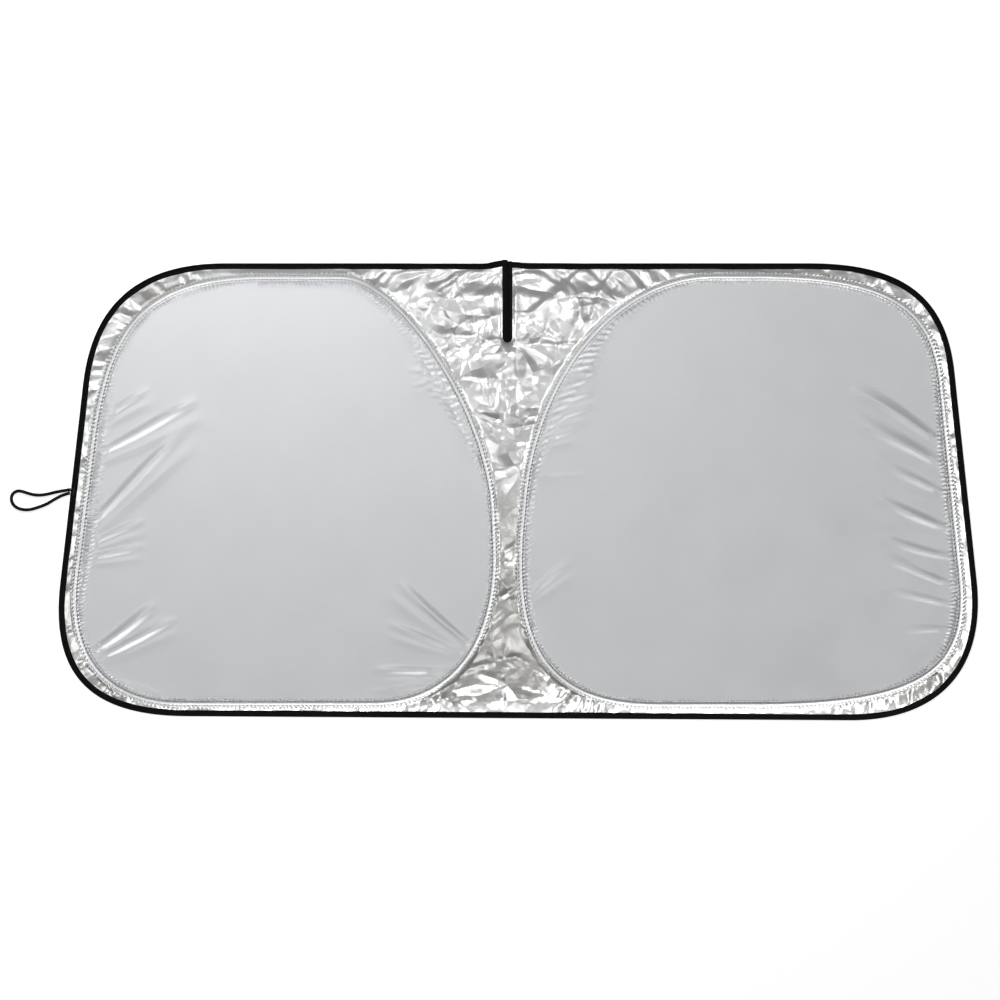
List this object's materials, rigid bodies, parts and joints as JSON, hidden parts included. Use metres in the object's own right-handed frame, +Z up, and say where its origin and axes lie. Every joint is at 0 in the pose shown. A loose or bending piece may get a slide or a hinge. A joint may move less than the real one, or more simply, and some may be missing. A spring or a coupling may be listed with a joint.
{
  "type": "windscreen sunshade",
  "caption": "Twist-fold windscreen sunshade: sprung hoops in sewn casings stretch silver panels in a crumpled silver sheet with a black bound edge, a mirror slit and an elastic loop.",
  "frame": {"origin": "under the middle of the edge binding, on the surface that the shade lies on", "axes": "+X along the shade's length, from the elastic loop's end to the other; +Y towards the edge with the mirror slit; +Z up through the thickness"},
  "size_m": [1.5774, 0.7498, 0.0071],
  "materials": {
    "slack_silver_cloth": "crumpled silver-coated polyester, glossy",
    "taut_silver_cloth": "taut silver-coated polyester, satin",
    "casing_silver_cloth": "silver-coated polyester strip, satin, stitched",
    "spring_steel": "drawn spring steel wire and crimped sleeve",
    "black_tape": "woven polyester folded tape, matte",
    "black_elastic": "braided elastic cord, matte",
    "black_thread": "close satin stitches, matte"
  },
  "bodies": {
    "root": {"surround_sheet": "slack_silver_cloth", "left_panel": "taut_silver_cloth", "right_panel": "taut_silver_cloth", "left_hoop_casing": "casing_silver_cloth", "right_hoop_casing": "casing_silver_cloth", "left_spring_hoop": "spring_steel", "right_spring_hoop": "spring_steel", "left_hoop_ferrule": "spring_steel", "right_hoop_ferrule": "spring_steel", "edge_binding": "black_tape", "slit_binding": "black_tape", "elastic_loop": "black_elastic", "loop_bar_tack": "black_thread"}
  },
  "joints": []
}
